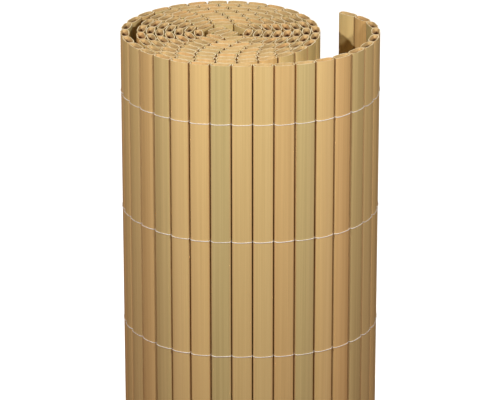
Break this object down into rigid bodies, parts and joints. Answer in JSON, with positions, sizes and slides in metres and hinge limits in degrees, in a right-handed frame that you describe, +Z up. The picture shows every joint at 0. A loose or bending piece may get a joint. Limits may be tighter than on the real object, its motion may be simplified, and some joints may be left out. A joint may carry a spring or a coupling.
{
  "type": "plastic privacy screen roll",
  "caption": "Rolled-up privacy screen of hollow plastic slats held side by side by rows of thread, standing on end with its loose outer turn ending in a free flap.",
  "frame": {"origin": "middle of the roll's footprint at the slats' lower ends", "axes": "+Z up along the slats, +X right and +Y away from the viewer, with the free flap on the +X side"},
  "size_m": [0.2362, 0.1816, 0.9],
  "materials": {
    "straw_slat": "satin",
    "olive_slat": "satin",
    "tan_slat": "satin",
    "stitching": "matte"
  },
  "bodies": {
    "root": {"slat_01": "straw_slat", "slat_02": "tan_slat", "slat_03": "olive_slat", "slat_04": "straw_slat", "slat_05": "straw_slat", "slat_06": "straw_slat", "slat_07": "olive_slat", "slat_08": "tan_slat", "slat_09": "straw_slat", "slat_10": "olive_slat", "slat_11": "tan_slat", "slat_12": "straw_slat", "slat_13": "straw_slat", "slat_14": "olive_slat", "slat_15": "straw_slat", "slat_16": "straw_slat", "slat_17": "olive_slat", "slat_18": "tan_slat", "slat_19": "straw_slat", "slat_20": "straw_slat", "slat_21": "tan_slat", "slat_22": "olive_slat", "slat_23": "straw_slat", "slat_24": "tan_slat", "slat_25": "olive_slat", "slat_26": "straw_slat", "slat_27": "tan_slat", "slat_28": "olive_slat", "slat_29": "straw_slat", "slat_30": "olive_slat", "slat_31": "straw_slat", "slat_32": "tan_slat", "slat_33": "olive_slat", "slat_34": "tan_slat", "slat_35": "straw_slat", "thread_row_1": "stitching", "thread_row_2": "stitching", "thread_row_3": "stitching", "thread_row_4": "stitching", "thread_row_5": "stitching", "thread_row_6": "stitching", "thread_row_7": "stitching", "thread_row_8": "stitching", "wound_turn_1": "straw_slat", "wound_turn_2": "straw_slat", "wound_turn_3": "straw_slat", "wound_turn_4": "straw_slat", "wound_turn_5": "straw_slat", "wound_turn_6": "straw_slat", "wound_turn_7": "straw_slat", "wound_turn_8": "straw_slat", "wound_turn_9": "straw_slat"}
  },
  "joints": []
}
